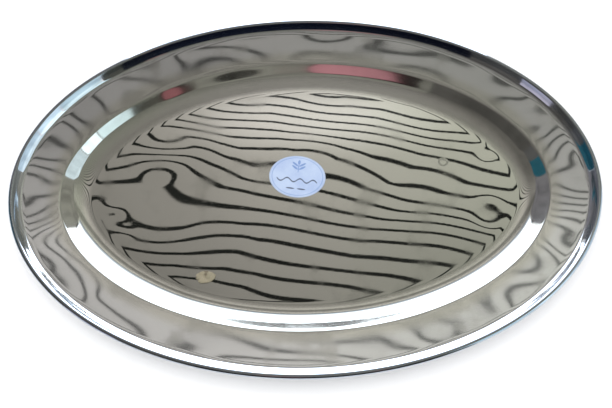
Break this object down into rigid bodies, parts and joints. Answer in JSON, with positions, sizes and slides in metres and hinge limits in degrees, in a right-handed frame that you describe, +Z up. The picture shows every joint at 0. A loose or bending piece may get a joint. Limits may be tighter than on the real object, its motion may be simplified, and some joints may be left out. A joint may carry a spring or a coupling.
{
  "type": "serving tray",
  "caption": "Oval serving tray pressed from polished sheet steel, with a shallow flat-floored well, a wide flange, a turned-up lip and a curled edge.",
  "frame": {"origin": "middle of the tray on the plane of its underside, where the floor of the well stands on the table", "axes": "+X along the tray's longer side, +Y across the tray away from the front, +Z up out of the well"},
  "size_m": [0.35, 0.23, 0.0178],
  "materials": {
    "polished_steel": "mirror-polished stainless steel sheet, slightly wavy, with fine wiping scratches",
    "label_film": null,
    "old_tape": "yellowed matt tape residue"
  },
  "bodies": {
    "root": {"tray_body": "polished_steel", "product_label": "label_film", "tape_scrap": "old_tape"}
  },
  "joints": []
}
